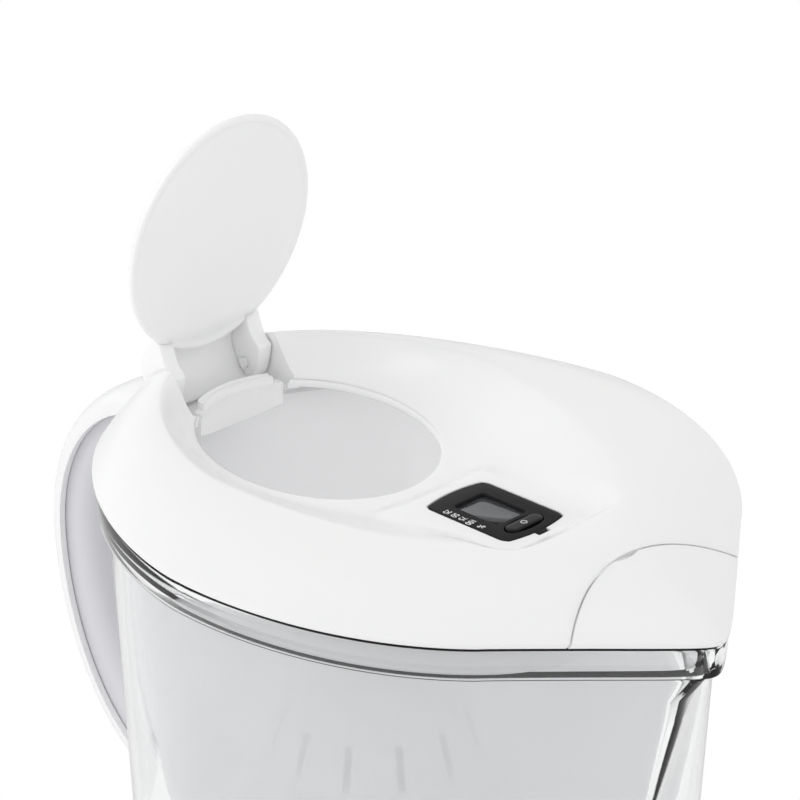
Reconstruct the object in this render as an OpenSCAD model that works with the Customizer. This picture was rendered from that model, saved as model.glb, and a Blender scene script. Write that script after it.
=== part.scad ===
// Oval filter pitcher: clear jug, lift-out funnel with a cartridge, and a lid with two flaps.
// +X points to the spout, +Z is up, and the origin is the centre of the foot.

/* [Lid outline] */
// Half of the lid's width
lid_half_w = 75; // [72:0.5:78]
// Reach of the round back behind the widest place
lid_back = 87; // [85:0.5:90]
// Reach of the oval front ahead of the widest place
lid_front = 80; // [78:0.5:83]
// Reach of the spout's sharp corner ahead of the widest place
nose_reach = 98; // [95:0.5:101]
// Distance of the widest place ahead of the fill hole's centre
wide_x = 33; // [31:0.5:35]
// Height of the crown of the lid's lower edge over the fill hole's centre
crown_z = 1.4; // [0.5:0.1:2.5]
// How far the lower edge has fallen 100 mm from its crown
crown_fall = 7.7; // [6:0.1:9]
// Distance of that crown ahead of the fill hole's centre
crown_x = 27; // [20:1:34]

/* [Lid bowl] */
// Half width of the bowl's lip
lip_half_w = 46.3; // [44:0.1:48]
// Reach of the lip behind its widest place
lip_back = 53.6; // [52:0.1:55]
// Reach of the lip ahead of its widest place
lip_front = 75.3; // [73:0.1:77]
// Distance of the lip's widest place ahead of the fill hole's centre
lip_x = 14; // [12:0.5:16]
// Height of the lip over the fill hole's centre
lip_z = 10.1; // [9:0.1:11]
// Fall of the lip toward the spout, in mm for each mm
lip_slope = 0.0454; // [0.03:0.001:0.06]
// Half length of the fill hole
hole_a = 32.3; // [31:0.1:33]
// Half width of the fill hole
hole_b = 28.1; // [27:0.1:28.6]
// Tilt of the fill hole toward the spout in degrees
hole_tilt = 4; // [3:0.1:5]
// Thickness of the lid's skin
lid_t = 2.2; // [2:0.1:2.4]

/* [Jug] */
// Height of the fill hole's centre over the table
hole_z = 250; // [245:1:255]
// Thickness of the jug's wall
jug_t = 2.4; // [2.2:0.1:2.6]
// Inset of the jug's wall below its rim band
body_inset = 3.5; // [3.2:0.1:4]
// Inset of the jug's wall at the foot
foot_inset = 12; // [10:0.5:14]
// How fast the spout's ridge falls back, in mm for each mm of depth
ridge_slope = 0.235; // [0.2:0.005:0.27]

/* [Funnel and cartridge] */
// Height of the funnel's floor where it meets the walls
floor_z = 160; // [156:1:164]
// Inner radius of the cartridge socket
socket_r = 31; // [30:0.5:32]
// Height of the socket's lower end
socket_z = 114; // [112:1:118]
// Radius of the cartridge at its shoulder
cart_r = 28; // [27:0.5:28.5]
// Height of the cartridge's lower end
cart_z = 106; // [104:1:108]

/* [Refill flap] */
// Half length of the flap's disc
disc_a = 32.9; // [32.6:0.1:33.2]
// Half width of the flap's disc
disc_b = 28.6; // [28.3:0.1:28.9]
// Angle at which the open flap stands over the table
open_angle = 77.4; // [76:0.2:79]
// Radius of the hinge pins
pin_r = 1.5; // [1.3:0.1:1.6]

/* [Handle] */
// Reach of the handle behind its two roots
handle_reach = 49.5; // [47:0.5:52]
// Half width of the handle's outer shell
handle_half_w = 12; // [11:0.5:13]
// Depth of the whole grip
grip_depth = 16.5; // [15:0.5:18]

/* [Indicator] */
// Length of the indicator along the lid
panel_l = 28.4; // [28:0.1:29]
// Width of the indicator across the lid
panel_w = 19.6; // [19:0.1:20.2]
// Depth of the whole indicator under its face
panel_depth = 7.2; // [7:0.1:7.6]
// Radius of the indicator's bowed ends
panel_bow = 33; // [30:1:40]

/* [Hidden] */
$fn = 64;

// The fill hole's centre stands behind the centre of the foot.
hole_x = -30;
lid_edge_h = 1.2;
lid_rim_t = 1.8;
back_power = 1.2;
side_power = 1.09;
tip_share = 0.08;
no_nose = 1.012;
rim_gap = 0.9;
band_inset = 0.8;
band_h = 7.6;
flange_inset = 3.6;
funnel_t = 1.8;
skirt_inset = 6.1;
skirt_drop = 5;
socket_x = hole_x + 20;

// Hinge of the refill flap, from the fill hole's centre
hinge_x = -41;
hinge_z = 3.3;
ear_in = 12.2;
ear_out = 16.6;
pocket_half = 17.1;
bar_half = 14;
disc_x = 40.9;
disc_z = 1.86;
disc_t = 2;

// Seam and hinge of the pour flap, from the fill hole's centre
seam_x = 126.9;
seam_r = 27.4;
seam_z = 4.8;
seam_flare = 0.8;
seam_gap = 0.5;
pour_x = 108;
pour_z = -2.6;
pour_hub_r = 1.6;
pour_pin_r = 0.9;

// Indicator's place, from the fill hole's centre
panel_x = 60;
panel_z = 1.3;
panel_tilt = -1.2;
window_x = -1.55;
window_l = 13.9;
window_w = 9.7;
button_x = 9.3;
button_l = 11;
button_w = 3.6;

handle_x = -79;
handle_z = 195;
handle_up = 53.5;
handle_down = 69;

// Directions round the oval: close together at the nose, then every 5 degrees
half_turn = concat([1.2, 2.6, 4.5, 7], [for (t = [10 : 5 : 175]) t]);
side_n = len(half_turn);
TURN = concat([for (k = [side_n - 1 : -1 : 0]) -half_turn[k]], [0], half_turn, [180]);
RING_N = len(TURN);

function mix(a, b, s) = a + (b - a) * s;
function smooth(s) = s * s * (3 - 2 * s);
function sgn_pow(v, p) = sign(v) * pow(abs(v), p);

// Oval with a nose, inset by i, whose sharp corner lies d ahead of the widest place
function oval(t, i, d) =
    let (a = lid_front - i, b = lid_back - i, w = lid_half_w - i)
    let (turn = acos(a / d), tx = a * a / d, ty = w * sqrt(1 - pow(a / d, 2)))
    let (y = ty * t / turn, tip = tip_share * (d - tx))
    abs(t) < turn ? [wide_x + d - sqrt(pow(y * (d - tx) / ty, 2) + tip * tip), y]
    : abs(t) <= 90 ? [wide_x + a * cos(t), w * sin(t)]
    : [wide_x + b * sgn_pow(cos(t), back_power), w * sgn_pow(sin(t), side_power)];

function nosed(t, i) = oval(t, i, nose_reach - 1.253 * i);
function plain(t, i) = oval(t, i, (lid_front - i) * no_nose);
function edge_z(x) = crown_z - crown_fall * pow((x - crown_x) / 100, 2);

// Lip of the bowl and rim of the fill hole
function lip(t) =
    let (reach = abs(t) <= 90 ? lip_front * pow(abs(cos(t)), 1.16) : -lip_back * pow(abs(cos(t)), 1.24))
    [lip_x + reach, lip_half_w * sin(t), lip_z - lip_slope * (lip_x + reach)];
function rim(t, g) = [(hole_a + g) * cos(t), (hole_b + g) * sin(t), -tan(hole_tilt) * hole_a * cos(t)];

// The lid falls from the lip to its edge in one convex sweep, and into the bowl in an S
function apron_rise(s) = 1 - pow(1 - s, 1.77);
function bowl_fall(s) = 1 - pow(1 - pow(s, 1.5), 2.1);
function pad_share(x, y) =
    let (dx = max(abs(x - panel_x) - 16, 0), dy = max(abs(y) - 13, 0))
    1 - smooth(min(norm([dx, dy]) / 9, 1));
function pad_z(x) = panel_z - tan(panel_tilt) * (x - panel_x);
function apron(t, s, drop) =
    let (e = nosed(t, 0), l = lip(t), low = edge_z(e[0]) + lid_edge_h)
    [mix(e[0], l[0], s), mix(e[1], l[1], s), mix(low, l[2], apron_rise(s)) - drop];
function bowl(t, s, drop) =
    let (l = lip(t), h = rim(t, 0), x = mix(l[0], h[0], s), y = mix(l[1], h[1], s))
    let (z = mix(l[2], h[2], bowl_fall(s)))
    [x, y, mix(z, pad_z(x), pad_share(x, y)) - drop];

function ring_at(f_xy, z) = [for (p = f_xy) [p[0], p[1], z]];
function edge_ring(f_xy, drop) = [for (p = f_xy) [p[0], p[1], edge_z(p[0]) - drop]];
function nosed_ring(i) = [for (t = TURN) nosed(t, i)];
function plain_ring(i) = [for (t = TURN) plain(t, i)];
function circle_ring(r, x) = [for (t = TURN) [x + r * cos(t), r * sin(t)]];
function moved(ring, x, z) = [for (p = ring) [p[0] + x, p[1], p[2] + z]];

// Solid skin through rings that run up the outside; closed joins the last ring to the first
module loft(rings, closed = false) {
    n = len(rings[0]);
    m = len(rings);
    sides = [for (r = [0 : m - (closed ? 1 : 2)]) for (k = [0 : n - 1])
        let (a = r * n, b = ((r + 1) % m) * n, k2 = (k + 1) % n)
        each [[a + k, b + k2, a + k2], [a + k, b + k, b + k2]]];
    first = [for (k = [0 : n / 2 - 2]) each [[k, k + 1, n - 2 - k], [k, n - 2 - k, n - 1 - k]]];
    last = [for (f = first) [for (k = [2, 1, 0]) (m - 1) * n + f[k]]];
    caps = closed ? [] : concat(first, last);
    polyhedron(points = [for (r = rings) each r], faces = concat(sides, caps), convexity = 8);
}

module on_lid() {
    translate([hole_x, 0, hole_z]) children();
}

module on_panel() {
    on_lid() translate([panel_x, 0, panel_z]) rotate([0, panel_tilt, 0]) children();
}

module round_rect(l, w, r) {
    square([l - 2 * r, w], center = true);
    square([l, w - 2 * r], center = true);
    for (x = [-1, 1], y = [-1, 1])
        translate([x * (l / 2 - r), y * (w / 2 - r)]) circle(r);
}

// The indicator's outline: long straight sides and gently bowed ends
module panel_shape(grow) {
    intersection() {
        round_rect(panel_l + 2 * grow, panel_w + 2 * grow, 3.6 + grow);
        translate([panel_l / 2 - panel_bow, 0]) circle(panel_bow + grow);
        translate([panel_bow - panel_l / 2, 0]) circle(panel_bow + grow);
    }
}

// Upright plate drawn in X and Z, from y to y + w
module plate(y, w) {
    translate([0, y + w, 0]) rotate([90, 0, 0]) linear_extrude(w) children();
}

// Jug

function jug_ring(i, z) =
    let (depth = hole_z - z, d = max((lid_front - i) * no_nose, nose_reach - 1.253 * i - ridge_slope * depth))
    moved([for (t = TURN) concat(oval(t, i, d), z)], hole_x, 0);
function wall_inset(z) = mix(foot_inset, body_inset, z / (hole_z - 12));
function rim_ring(i, drop) = moved(edge_ring(nosed_ring(i), drop), hole_x, hole_z);

module jug() {
    levels = [6, 70, 140, 168, 186, 206, 228];
    outside = [for (z = levels) jug_ring(wall_inset(z), z)];
    inside = [for (k = [len(levels) - 1 : -1 : 1]) jug_ring(wall_inset(levels[k]) + jug_t, levels[k])];
    color("white", 0.4) {
        loft(concat(
            [jug_ring(foot_inset + 7, 1.2), jug_ring(foot_inset + 2.4, 2.2)],
            outside,
            [rim_ring(body_inset, rim_gap + band_h + 2.4), rim_ring(body_inset, rim_gap + band_h + 0.8),
             rim_ring(band_inset, rim_gap + band_h), rim_ring(band_inset, rim_gap + 0.3),
             rim_ring(band_inset + 0.4, rim_gap), rim_ring(band_inset + jug_t - 0.3, rim_gap),
             rim_ring(band_inset + jug_t, rim_gap + 0.3), rim_ring(band_inset + jug_t, rim_gap + band_h),
             rim_ring(body_inset + jug_t, rim_gap + band_h + 0.4),
             rim_ring(body_inset + jug_t, rim_gap + band_h + 3)],
            inside,
            [jug_ring(foot_inset + jug_t + 2, 8), jug_ring(foot_inset + 10, 4.2)]));
        difference() {
            linear_extrude(2.4) polygon([for (t = TURN) plain(t, foot_inset + 8) + [hole_x, 0]]);
            translate([0, 0, -1])
                linear_extrude(2.2) polygon([for (t = TURN) plain(t, foot_inset + 11) + [hole_x, 0]]);
        }
    }
}

// Handle: a crowned outer shell and a softer grip nested in it

function crown_point(phi) =
    let (b = sin(phi) > 0 ? handle_up : handle_down)
    [handle_x + handle_reach * cos(phi), handle_z + b * sin(phi)];
function crown_normal(phi) =
    let (b = sin(phi) > 0 ? handle_up : handle_down)
    let (n = [cos(phi) / handle_reach, sin(phi) / b])
    n / norm(n);
function handle_section(phi, section) =
    let (p = crown_point(phi), n = crown_normal(phi))
    [for (q = section) [p[0] + n[0] * q[1], q[0], p[1] + n[1] * q[1]]];
function handle_rings(section) =
    let (last = handle_section(270, section))
    concat([for (phi = handle_turn) handle_section(phi, section)], [moved(last, 2.2, 0)]);
function arch(w, low, high, flat, step) =
    [for (u = [-90 : step : 90]) [w * sgn_pow(sin(u), 0.8), low + (high - low) * pow(abs(cos(u)), flat)]];
function backward(list) = [for (k = [len(list) - 1 : -1 : 0]) list[k]];

handle_turn = [for (k = [0 : 24]) 97.2 + k * 7.2];
shell_section = concat(arch(handle_half_w, -7, 0, 0.7, 18), backward(arch(handle_half_w - 1.8, -7, -2.6, 0.7, 18)));
grip_section = concat(arch(handle_half_w - 2.1, -7, -3, 0.7, 18), backward(arch(handle_half_w - 2.6, -8.5, -grip_depth, 0.9, 18)));

module handle_shell() {
    color("white") loft(handle_rings(shell_section));
}

module handle_grip() {
    color("gainsboro") {
        loft(handle_rings(grip_section));
        // Roots that carry the handle on the jug's rim band and wall
        translate([-87, -8, 234]) cube([5.4, 16, 10]);
        translate([-80, -8, 128.5]) cube([5.4, 16, 11]);
    }
}

// Funnel

function funnel_ring(i, z) = moved(ring_at(plain_ring(i), z), hole_x, 0);
function flange_ring(i, drop) = moved(edge_ring(plain_ring(i), drop), hole_x, hole_z);
function socket_ring(r, z) = ring_at(circle_ring(r, socket_x), z);

module funnel() {
    flange_drop = rim_gap + 0.6;
    seat_drop = rim_gap + band_h - 0.5;
    color("whitesmoke", 0.8) loft([
        socket_ring(socket_r + funnel_t, socket_z), socket_ring(socket_r + funnel_t, floor_z - 8),
        funnel_ring(26, floor_z - 1), funnel_ring(18, floor_z + 2), funnel_ring(14.5, floor_z + 10),
        funnel_ring(9, hole_z - 28), flange_ring(6.6, seat_drop + 0.4), flange_ring(flange_inset, seat_drop),
        flange_ring(flange_inset, flange_drop), flange_ring(flange_inset + funnel_t, flange_drop),
        flange_ring(flange_inset + funnel_t, seat_drop - 1.6), flange_ring(8.6, seat_drop - 1.2),
        funnel_ring(9 + funnel_t, hole_z - 28), funnel_ring(14.5 + funnel_t, floor_z + 10.5),
        funnel_ring(19, floor_z + 3.8), funnel_ring(26.5, floor_z + 0.9),
        socket_ring(socket_r, floor_z - 6), socket_ring(socket_r, socket_z)], closed = true);
}

// Cartridge

cap_z = floor_z + 8;
cap_h = 26;

module at_socket() {
    translate([socket_x, 0, 0]) children();
}

module cartridge_shell() {
    color("white") at_socket() rotate_extrude() polygon([
        [cart_r - 4.8, cart_z], [cart_r - 3, cart_z], [cart_r, cart_z + 44], [cart_r, floor_z - 3.8],
        [socket_r + 3, floor_z - 3.8], [socket_r + 3, floor_z - 1.8], [cart_r, floor_z - 1],
        [cart_r, cap_z], [cart_r - 1.8, cap_z], [cart_r - 1.8, cart_z + 44]]);
}

module cartridge_seal() {
    color("dimgray") at_socket() rotate_extrude() polygon([
        [cart_r, floor_z - 14], [socket_r - 1.4, floor_z - 13.4], [socket_r - 0.4, floor_z - 11.6],
        [socket_r - 1.2, floor_z - 10], [cart_r, floor_z - 9]]);
}

module cartridge_cap() {
    slots = 12;
    color("white") at_socket() {
        difference() {
            translate([0, 0, cap_z]) rotate_extrude() polygon(concat(
                [[0, cap_h - 2], [9, cap_h - 2.6], [17, cap_h - 6], [22, cap_h - 12], [24.6, 6], [25, 0]],
                [[27, 0], [26.6, 7], [24, cap_h - 11], [18.4, cap_h - 4.2], [9.6, cap_h - 0.6], [0, cap_h]]));
            for (k = [0 : slots - 1])
                rotate([0, 0, k * 360 / slots]) translate([14, -1, cap_z + 5]) cube([16, 2, 11]);
        }
        // Pull ring
        translate([0, 0, cap_z + cap_h - 1.5]) difference() {
            plate(-2, 4) circle(11);
            plate(-3, 6) circle(8);
            translate([-12, -4, -12]) cube([24, 8, 12]);
        }
    }
}

module cartridge_strainer() {
    color("silver") at_socket() translate([0, 0, cap_z - 1.6]) difference() {
        cylinder(h = 1.2, r = cart_r - 1.8);
        for (k = [0 : 7])
            rotate([0, 0, k * 45]) translate([13, 0, -1]) cylinder(h = 4, r = 3.6);
    }
}

module filter_media() {
    color("dimgray") at_socket() translate([0, 0, cart_z + 3.2]) cylinder(h = cap_z - cart_z - 5.2, r1 = 23, r2 = 25.8);
}

module cartridge_grid() {
    color("white") at_socket() translate([0, 0, cart_z + 0.6]) difference() {
        cylinder(h = 2.2, r = cart_r - 5.1);
        translate([0, 0, -1]) cylinder(h = 5, r = 2.4);
        for (k = [0 : 9])
            rotate([0, 0, k * 36]) translate([12.5, 0, -1]) cylinder(h = 5, r = 2.6);
    }
}

// Lid

apron_steps = [0.06, 0.16, 0.3, 0.46, 0.64, 0.82, 0.94];
bowl_steps = [0.06, 0.16, 0.28, 0.42, 0.56, 0.7, 0.85, 1];

function apron_ring(s, drop) = [for (t = TURN) apron(t, s, drop)];
function bowl_ring(s, drop) = [for (t = TURN) bowl(t, s, drop)];
function under_ring(i) = [for (t = TURN)
    let (p = plain(t, i), e = nosed(t, 0), l = lip(t), s = min(norm(p - e) / norm([l[0], l[1]] - e), 0.96))
    [p[0], p[1], apron(t, s, lid_t)[2]]];

module seam_cone(shrink) {
    top = 12;
    low = -20;
    translate([seam_x, 0, low]) cylinder(
        h = top - low, r1 = seam_r + seam_flare * (seam_z - low) - shrink,
        r2 = seam_r + seam_flare * (seam_z - top) - shrink);
}

// Everything under the lid's skin, which keeps its inner fittings from showing outside
module under_skin() {
    loft(concat(
        [ring_at(nosed_ring(3.9), -14), edge_ring(nosed_ring(3.9), 0.4)],
        [for (s = [0.06, 0.3, 0.64, 1]) apron_ring(s, 0.8)],
        [for (s = [0.28, 0.56, 1]) bowl_ring(s, 0.8)]));
}

module hole_prism(grow) {
    translate([0, 0, -20]) linear_extrude(40)
        polygon([for (t = [0 : 5 : 355]) let (p = rim(t, grow)) [p[0], p[1]]]);
}

// Block round the hinge, and the bar that stands across the back of the fill hole
module hinge_housing() {
    difference() {
        translate([-50.2, -pocket_half - 1.6, -3.1]) cube([24.2, 2 * pocket_half + 3.2, 16]);
        hole_prism(0.02);
        for (y = [-20, bar_half])
            translate([-36, y, -10]) cube([20, 20 - bar_half, 9.4]);
    }
    difference() {
        intersection() {
            hole_prism(2);
            translate([-36, 0, 0]) rotate([0, 90, 0]) linear_extrude(16) scale_bar();
        }
        hole_prism(0.02);
    }
}

// Face of the bar: straight sides and an arched lower edge
module scale_bar() {
    intersection() {
        translate([-3, -bar_half]) square([12, 2 * bar_half]);
        translate([-26.2, 0]) circle(34);
    }
}

module hinge_pocket() {
    difference() {
        union() {
            translate([-46.8, -12.7, -2.4]) cube([19, 25.4, 30]);
            translate([-46, -pocket_half, -2.4]) cube([19, 2 * pocket_half, 30]);
            translate([-49, -12.7, -0.2]) cube([19, 25.4, 30]);
            translate([-49, -pocket_half, 1]) cube([19, 2 * pocket_half, 30]);
        }
        // The bar stays, with a notch at each end for the flap's ears
        difference() {
            hole_prism(2);
            for (y = [-30, bar_half])
                translate([-40, y, -30]) cube([40, 30 - bar_half, 60]);
            for (y = [-30, ear_in - 0.4])
                translate([-40, y, 1.2]) cube([40, 30.4 - ear_in, 30]);
        }
    }
}

module indicator_tray() {
    translate([panel_x, 0, panel_z]) rotate([0, panel_tilt, 0]) translate([0, 0, -panel_depth - 1.4])
        linear_extrude(panel_depth + 0.2) panel_shape(1.7);
}

module indicator_recess() {
    translate([panel_x, 0, panel_z]) rotate([0, panel_tilt, 0]) {
        translate([0, 0, -panel_depth]) linear_extrude(20) panel_shape(0.3);
        translate([panel_l / 2 - 1, -2, -2]) cube([2.8, 4, 12]);
    }
}

module pour_arms() {
    for (y = [-11, 9]) plate(y, 2) translate([pour_x, pour_z]) {
        circle(pour_hub_r);
        polygon([[0, -pour_hub_r], [-2.2, -1.9], [-4, -4.5], [-8, -8.5], [-15, -8.5], [-15, 8], [-11.6, 8],
            [-11.6, -6.5], [-1.4, 0.8]]);
    }
}

module lid_shell() {
    color("white") on_lid() difference() {
        union() {
            difference() {
                loft(concat(
                    [edge_ring(nosed_ring(0), 0), edge_ring(nosed_ring(0), -lid_edge_h)],
                    [for (s = apron_steps) apron_ring(s, 0)],
                    [apron_ring(1, 0)],
                    [for (s = bowl_steps) bowl_ring(s, 0)],
                    [bowl_ring(1, lid_t), bowl_ring(0.75, lid_t), bowl_ring(0.5, lid_t), bowl_ring(0.28, lid_t)],
                    [bowl_ring(0.1, lid_t), apron_ring(0.94, lid_t)],
                    [under_ring(skirt_inset + 1.8), under_ring(skirt_inset)],
                    [edge_ring(nosed_ring(lid_rim_t + 0.3), -0.4), edge_ring(nosed_ring(lid_rim_t), 0)]), closed = true);
                seam_cone(0);
            }
            intersection() {
                under_skin();
                union() {
                    hinge_housing();
                    indicator_tray();
                    pour_arms();
                }
            }
        }
        hinge_pocket();
        indicator_recess();
        // Bores for the pins of both flaps
        translate([hinge_x, 18.7, hinge_z]) rotate([90, 0, 0]) cylinder(h = 37.4, r = pin_r - 0.05);
        translate([pour_x, 14, pour_z]) rotate([90, 0, 0]) cylinder(h = 28, r = pour_pin_r - 0.03);
    }
}

// Ring under the lid that keeps it centred in the funnel's rim
module lid_ring() {
    color("white") on_lid() difference() {
        loft([
            edge_ring(plain_ring(skirt_inset), skirt_drop), moved(under_ring(skirt_inset), 0, -0.12),
            moved(under_ring(skirt_inset + 1.8), 0, -0.12), edge_ring(plain_ring(skirt_inset + 1.8), skirt_drop)],
            closed = true);
        seam_cone(0);
        // Gap behind the hinge block
        translate([-60, -pocket_half - 2, -20]) cube([20, 2 * pocket_half + 4, 40]);
    }
}

module flap_pin(side) {
    color("white") on_lid() translate([hinge_x, side < 0 ? -ear_in + 0.6 : ear_in - 0.6 + 6.2, hinge_z])
        rotate([90, 0, 0]) cylinder(h = 6.2, r = pin_r);
}

module flap_pin_left() {
    flap_pin(1);
}

module flap_pin_right() {
    flap_pin(-1);
}

// Refill flap, drawn closed round its hinge and turned up to where it rests open

function disc_ring(k, z) = [for (t = [0 : 5 : 355]) [disc_x + disc_a * k * cos(t), disc_b * k * sin(t), z]];

module flap_disc() {
    loft([disc_ring(0.3, disc_z + 0.35), disc_ring(0.93, disc_z + 0.35), disc_ring(0.965, disc_z),
        disc_ring(0.99, disc_z + 0.15), disc_ring(1, disc_z + 0.7), disc_ring(1, disc_z + 1.3),
        disc_ring(0.97, disc_z + disc_t), disc_ring(0.7, disc_z + disc_t + 0.5), disc_ring(0.3, disc_z + disc_t + 0.8)]);
}

// Outlines seen from the side, with the hinge axis at the origin
ear_side = [[-4.4, -1], [-1.5, -4.3], [6.6, -4.7], [8.8, -1.2], [13.2, 1.9], [14.2, 3.4], [13, 4.8],
    [10, 6.6], [6, 7.6], [2.3, 7.2], [-0.2, 5.5], [-2.3, 3.9], [-4, 2]];
neck_side = [[13, 4.8], [10, 6.6], [6, 7.6], [2.3, 7.2], [-0.2, 5.5], [-2.3, 3.6], [-4.5, 0.6], [-5.2, -0.9],
    [-3.9, -2.1], [-2.9, -0.4], [-1, 2.2], [0.9, 3.75], [3.2, 5.4], [6, 5.8], [8.5, 5.2], [9.8, 3.6], [13, 3]];

module flap_ear(y) {
    difference() {
        plate(y, ear_out - ear_in) union() {
            circle(4.6);
            polygon(ear_side);
        }
        translate([0, y + 10, 0]) rotate([90, 0, 0]) cylinder(h = 20, r = pin_r + 0.06);
    }
}

module refill_flap() {
    color("white") on_lid() translate([hinge_x, 0, hinge_z]) rotate([0, -open_angle, 0]) {
        flap_disc();
        flap_ear(ear_in);
        flap_ear(-ear_out);
        // Neck that wraps over the hinge between the ears
        plate(-ear_in - 0.2, 2 * ear_in + 0.4) polygon(neck_side);
    }
}

// Pour flap: the nose of the lid, cut off along the seam

module pour_flap() {
    color("white") on_lid() difference() {
        union() {
            intersection() {
                loft(concat(
                    [edge_ring(nosed_ring(0), 0), edge_ring(nosed_ring(0), -lid_edge_h)],
                    [for (s = apron_steps) apron_ring(s, 0)],
                    [apron_ring(0.94, lid_t), apron_ring(0.6, lid_t), apron_ring(0.3, lid_t)],
                    [apron_ring(0.12, lid_t), edge_ring(nosed_ring(lid_rim_t), 0)]), closed = true);
                seam_cone(seam_gap);
            }
            for (y = [-8.6, 6.4]) plate(y, 2.2) {
                translate([pour_x, pour_z]) circle(pour_hub_r);
                translate([pour_x - pour_hub_r, pour_z]) square([2 * pour_hub_r, 3.8]);
            }
        }
        translate([pour_x, 14, pour_z]) rotate([90, 0, 0]) cylinder(h = 28, r = pour_pin_r + 0.05);
    }
}

module pour_pin(y) {
    color("white") on_lid() translate([pour_x, y, pour_z]) rotate([90, 0, 0]) cylinder(h = 4.9, r = pour_pin_r);
}

module pour_pin_left() {
    pour_pin(11);
}

module pour_pin_right() {
    pour_pin(-6.1);
}

// Indicator

module indicator_case() {
    color("#303032") on_panel() difference() {
        translate([0, 0, -panel_depth]) linear_extrude(panel_depth - 1.2) panel_shape(0);
        translate([0, 0, -panel_depth + 1.2]) linear_extrude(20) panel_shape(-1.2);
        translate([-2, 0, -20]) cylinder(h = 40, r = 6.9);
    }
}

module indicator_face() {
    color("#38383a") on_panel() difference() {
        translate([0, 0, -1.2]) linear_extrude(1.2) {
            panel_shape(0);
            // Tab for a fingernail
            translate([panel_l / 2 - 0.9, -1.7]) square([2.4, 3.4]);
        }
        translate([window_x, 0, -5]) linear_extrude(10) round_rect(window_l, window_w, 1);
        translate([button_x, 0, -5]) linear_extrude(10) round_rect(button_w + 0.7, button_l + 0.7, 2.1);
    }
}

module indicator_window() {
    color("slategray", 0.6) on_panel() translate([window_x, 0, -1.2]) linear_extrude(0.5) round_rect(window_l, window_w, 1);
}

module display() {
    color("darkseagreen") on_panel() translate([window_x, 0, -2.6]) linear_extrude(1.3) round_rect(15.5, 11.6, 0.6);
}

module circuit_board() {
    color("seagreen") on_panel() translate([0, 0, -3.6]) linear_extrude(1) panel_shape(-1.3);
}

module start_button() {
    color("black") on_panel() translate([button_x, 0, 0]) {
        translate([0, 0, -1]) linear_extrude(1.4) round_rect(button_w, button_l, 1.75);
        translate([0, 0, -1.4]) linear_extrude(0.6) round_rect(button_w - 0.8, 4, 1);
    }
}

module button_dome() {
    color("silver") on_panel() translate([button_x, 0, -2.6]) cylinder(h = 0.3, r1 = 1.5, r2 = 0.8);
}

module coin_cell() {
    color("silver") on_panel() translate([-2, 0, -6.2]) cylinder(h = 2, r = 6);
}

module battery_contact() {
    color("goldenrod") on_panel() translate([-2, 0, -4.2]) {
        linear_extrude(0.3) round_rect(9, 3, 0.6);
        translate([-4.5, -1.5, 0]) cube([1, 3, 0.6]);
    }
}

module battery_cover() {
    color("#303032") on_panel() translate([-2, 0, -panel_depth]) difference() {
        cylinder(h = 1, r = 6.9);
        translate([-4, -0.6, -1]) cube([8, 1.2, 1.5]);
    }
}

jug();
handle_shell();
handle_grip();
funnel();
cartridge_shell();
cartridge_seal();
cartridge_cap();
cartridge_strainer();
filter_media();
cartridge_grid();
lid_shell();
lid_ring();
flap_pin_left();
flap_pin_right();
refill_flap();
pour_flap();
pour_pin_left();
pour_pin_right();
indicator_case();
indicator_face();
indicator_window();
display();
circuit_board();
start_button();
button_dome();
coin_cell();
battery_contact();
battery_cover();
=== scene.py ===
"""Water filter pitcher: the look of every piece, on the CAD frame.

Lengths are in mm in the modelling functions and become metres when a mesh is made.
+X points to the spout, +Z is up, and the origin is the centre of the foot.
"""

from math import acos, cos, degrees, hypot, pi, radians, sin, sqrt, tan

import bmesh
import bpy
from mathutils import Matrix, Vector


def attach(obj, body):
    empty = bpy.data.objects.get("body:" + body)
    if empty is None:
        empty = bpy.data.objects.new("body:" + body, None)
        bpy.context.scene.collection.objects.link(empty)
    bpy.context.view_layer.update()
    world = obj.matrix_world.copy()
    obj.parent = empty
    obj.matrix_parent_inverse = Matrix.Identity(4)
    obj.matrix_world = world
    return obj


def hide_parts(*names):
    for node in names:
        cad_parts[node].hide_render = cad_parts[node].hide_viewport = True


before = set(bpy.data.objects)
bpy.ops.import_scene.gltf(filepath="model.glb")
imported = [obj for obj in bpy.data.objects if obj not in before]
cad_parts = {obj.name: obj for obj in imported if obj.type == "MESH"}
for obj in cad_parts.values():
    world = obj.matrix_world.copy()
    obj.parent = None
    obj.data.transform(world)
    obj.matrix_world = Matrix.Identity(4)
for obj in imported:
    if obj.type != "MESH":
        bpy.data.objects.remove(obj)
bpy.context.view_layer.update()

# Small helpers


def mix(a, b, s):
    """The value at the part s of the way from a to b."""
    return a + (b - a) * s


def smooth(s):
    """A step from 0 to 1 that starts and ends level."""
    s = min(max(s, 0.0), 1.0)
    return s * s * (3 - 2 * s)


def linear(hex_code):
    """An sRGB hex colour as the linear values that a shader takes."""
    def one(c):
        return c / 12.92 if c <= 0.04045 else ((c + 0.055) / 1.055) ** 2.4
    return tuple(one(int(hex_code[k:k + 2], 16) / 255) for k in (1, 3, 5)) + (1.0,)


def add(owner, kind, values=None, **settings):
    """Adds a shader node to a material or the world; values go to its inputs, and a socket is linked."""
    node = owner.node_tree.nodes.new("ShaderNode" + kind)
    for key, value in settings.items():
        setattr(node, key, value)
    for key, value in (values or {}).items():
        if isinstance(value, bpy.types.NodeSocket):
            owner.node_tree.links.new(value, node.inputs[key])
        else:
            node.inputs[key].default_value = value
    return node


def new_material(name):
    """An empty node material."""
    material = bpy.data.materials.new(name)
    material.use_nodes = True
    material.node_tree.nodes.clear()
    return material


def finish_material(material, surface):
    """The material with its surface joined to the output."""
    add(material, "OutputMaterial", {"Surface": surface})
    return material


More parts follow.
